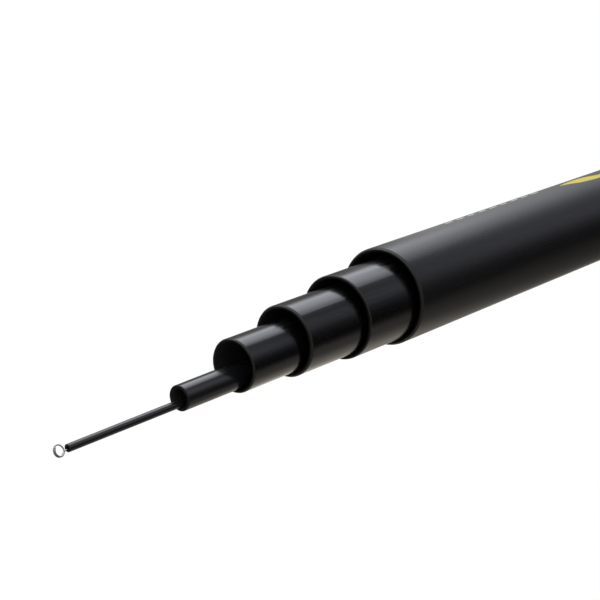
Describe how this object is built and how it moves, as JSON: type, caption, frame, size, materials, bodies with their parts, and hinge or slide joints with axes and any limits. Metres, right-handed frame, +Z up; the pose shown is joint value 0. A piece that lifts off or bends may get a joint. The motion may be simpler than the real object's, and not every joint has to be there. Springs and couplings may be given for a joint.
{
  "type": "telescopic pole rod",
  "caption": "Telescopic pole rod: nested tapered black tubes that slide out of a wide butt, with a wire ring at the tip and a knurled screw cap at the butt.",
  "frame": {"origin": "centre of the rubber pad's outer face on the butt cap", "axes": "+X along the butt tube from the cap to the tip, +Z up with the sections lying on the bottoms of their bores"},
  "size_m": [1.2552, 0.0292, 0.0292],
  "materials": {
    "butt_blank": "satin black lacquer over wound composite tube",
    "section_blank": "polished black lacquer over wound composite tube",
    "tip_blank": "thin black lacquer over lengthwise fibres",
    "bush": "dull brass tube, glued in",
    "ring_wire": "bright drawn stainless wire",
    "insert": "turned",
    "cap": "black anodised, knurled",
    "pad": "matt moulded",
    "seal": "smooth",
    "buffer": "closed-cell foam"
  },
  "bodies": {
    "butt": {"butt_tube": "butt_blank", "thread_insert": "insert"},
    "second": {"section_2": "section_blank"},
    "third": {"section_3": "section_blank"},
    "fourth": {"section_4": "section_blank"},
    "fifth": {"section_5": "section_blank"},
    "tip": {"tip_section": "tip_blank", "tip_bush": "bush", "tip_ring": "ring_wire"},
    "buffer": {"buffer_disc": "buffer"},
    "cap": {"butt_cap": "cap", "end_pad": "pad", "seal_ring": "seal"}
  },
  "joints": [
    {"name": "section_2_slide", "type": "slide", "parent": "butt", "child": "second", "axis": [1, 0, 0.001], "range_m": [-0.0333, 1.006]},
    {"name": "section_3_slide", "type": "slide", "parent": "second", "child": "third", "axis": [1, 0, 0.0009], "range_m": [-0.0208, 1.0092]},
    {"name": "section_4_slide", "type": "slide", "parent": "third", "child": "fourth", "axis": [1, 0, 0.0009], "range_m": [-0.0183, 1.0167]},
    {"name": "section_5_slide", "type": "slide", "parent": "fourth", "child": "fifth", "axis": [1, 0, 0.0009], "range_m": [-0.0184, 1.0216]},
    {"name": "tip_slide", "type": "slide", "parent": "fifth", "child": "tip", "axis": [1, 0, -0.0004], "range_m": [-0.0328, 1.0172]},
    {"name": "cap_travel", "type": "slide", "parent": "butt", "child": "buffer", "axis": [-1, 0, 0], "range_m": [0, 0.008]},
    {"name": "cap_unscrew", "type": "hinge", "parent": "buffer", "child": "cap", "pos_m": [0, 0, 0], "axis": [-1, 0, 0], "range_deg": [0, 1440]}
  ],
  "couplings": [
    {"joint": "cap_travel", "follows": "cap_unscrew", "m_per_rad": 0.00031831}
  ]
}
